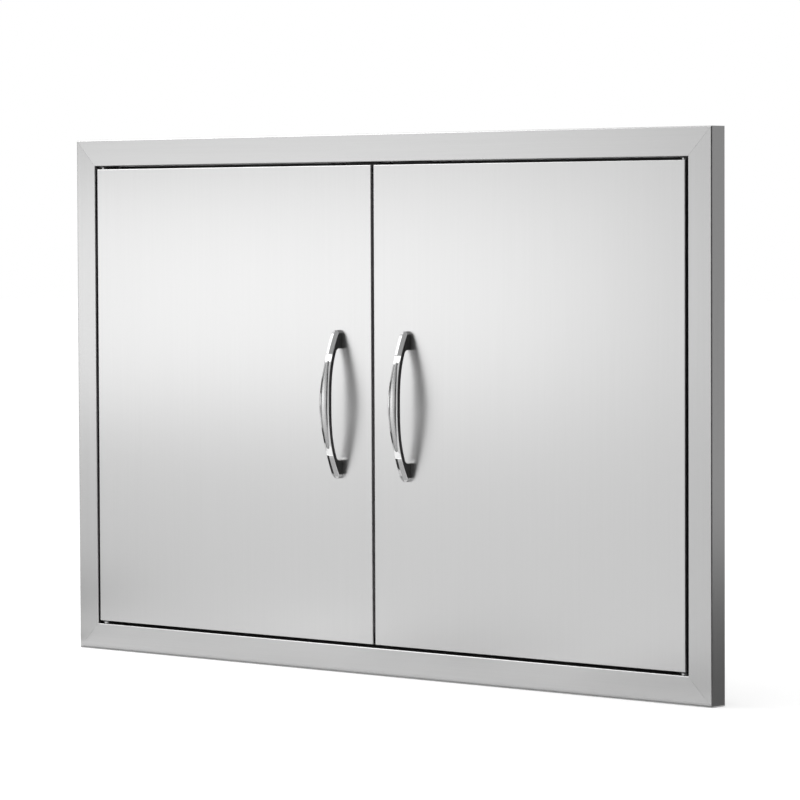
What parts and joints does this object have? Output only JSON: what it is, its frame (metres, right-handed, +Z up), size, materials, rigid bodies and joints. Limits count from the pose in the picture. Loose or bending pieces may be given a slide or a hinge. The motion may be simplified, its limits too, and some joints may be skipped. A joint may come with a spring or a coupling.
{
  "type": "built-in double access door",
  "caption": "Flush built-in double access door for an outdoor kitchen: mitred stainless frame, hinged double-walled doors on pivot pins, bow handles and magnetic catches.",
  "frame": {"origin": "centre of the frame on the plane of the lip's back rim, where the frame meets the wall", "axes": "+X to the right along the width, +Y from the front towards the inside of the wall, +Z up"},
  "size_m": [0.8382, 0.0684, 0.5334],
  "materials": {
    "frame_steel": "brushed 304 stainless sheet, grain along each member",
    "door_steel": "brushed 304 stainless sheet, upright grain",
    "black_coat": "matt black powder coat",
    "liner_steel": "mill-finish stainless sheet",
    "handle_chrome": "plated zinc casting, polished feet and satin grip",
    "fastener_steel": "plain stainless fasteners",
    "hinge_steel": "turned and folded stainless hinge pieces",
    "spring_steel": "drawn stainless spring wire",
    "nylon": "black nylon",
    "black_plastic": "moulded black plastic",
    "pole_steel": "zinc-plated mild steel",
    "ferrite": "dark sintered magnet"
  },
  "bodies": {
    "frame": {"frame_top_rail": "frame_steel", "frame_bottom_rail": "frame_steel", "frame_left_stile": "frame_steel", "frame_right_stile": "frame_steel", "frame_top_stop": "black_coat", "frame_bottom_stop": "black_coat", "frame_left_stop": "black_coat", "frame_right_stop": "black_coat", "left_top_bushing": "nylon", "left_bottom_stud": "hinge_steel", "left_thrust_washer": "hinge_steel", "left_catch_housing": "black_plastic", "left_catch_magnet": "ferrite", "left_catch_poles": "pole_steel", "left_catch_screws": "fastener_steel", "right_top_bushing": "nylon", "right_bottom_stud": "hinge_steel", "right_thrust_washer": "hinge_steel", "right_catch_housing": "black_plastic", "right_catch_magnet": "ferrite", "right_catch_poles": "pole_steel", "right_catch_screws": "fastener_steel"},
    "left_door": {"left_door_skin": "door_steel", "left_door_liner": "liner_steel", "left_liner_rivets": "fastener_steel", "left_handle": "handle_chrome", "left_handle_screws": "fastener_steel", "left_handle_washers": "fastener_steel", "left_access_plugs": "black_plastic", "left_strike_plate": "pole_steel", "left_strike_rivet": "fastener_steel", "left_bottom_bushing": "nylon", "left_pin_bracket": "hinge_steel", "left_pin_spring": "spring_steel"},
    "left_pin": {"left_hinge_pin": "hinge_steel", "left_pin_clip": "hinge_steel", "left_pin_tab": "hinge_steel"},
    "right_door": {"right_door_skin": "door_steel", "right_door_liner": "liner_steel", "right_liner_rivets": "fastener_steel", "right_handle": "handle_chrome", "right_handle_screws": "fastener_steel", "right_handle_washers": "fastener_steel", "right_access_plugs": "black_plastic", "right_strike_plate": "pole_steel", "right_strike_rivet": "fastener_steel", "right_bottom_bushing": "nylon", "right_pin_bracket": "hinge_steel", "right_pin_spring": "spring_steel"},
    "right_pin": {"right_hinge_pin": "hinge_steel", "right_pin_clip": "hinge_steel", "right_pin_tab": "hinge_steel"}
  },
  "joints": [
    {"name": "left_door_hinge", "type": "hinge", "parent": "frame", "child": "left_door", "pos_m": [-0.3835, -0.0135, 0], "axis": [0, 0, -1], "range_deg": [0, 105]},
    {"name": "left_pin_slide", "type": "slide", "parent": "left_door", "child": "left_pin", "axis": [0, 0, -1], "range_m": [0, 0.009], "stiffness_N_per_m": 1800, "springref_m": -0.004, "deforming": ["left_pin_spring"]},
    {"name": "right_door_hinge", "type": "hinge", "parent": "frame", "child": "right_door", "pos_m": [0.3835, -0.0135, 0], "axis": [0, 0, 1], "range_deg": [0, 105]},
    {"name": "right_pin_slide", "type": "slide", "parent": "right_door", "child": "right_pin", "axis": [0, 0, -1], "range_m": [0, 0.009], "stiffness_N_per_m": 1800, "springref_m": -0.004, "deforming": ["right_pin_spring"]}
  ]
}
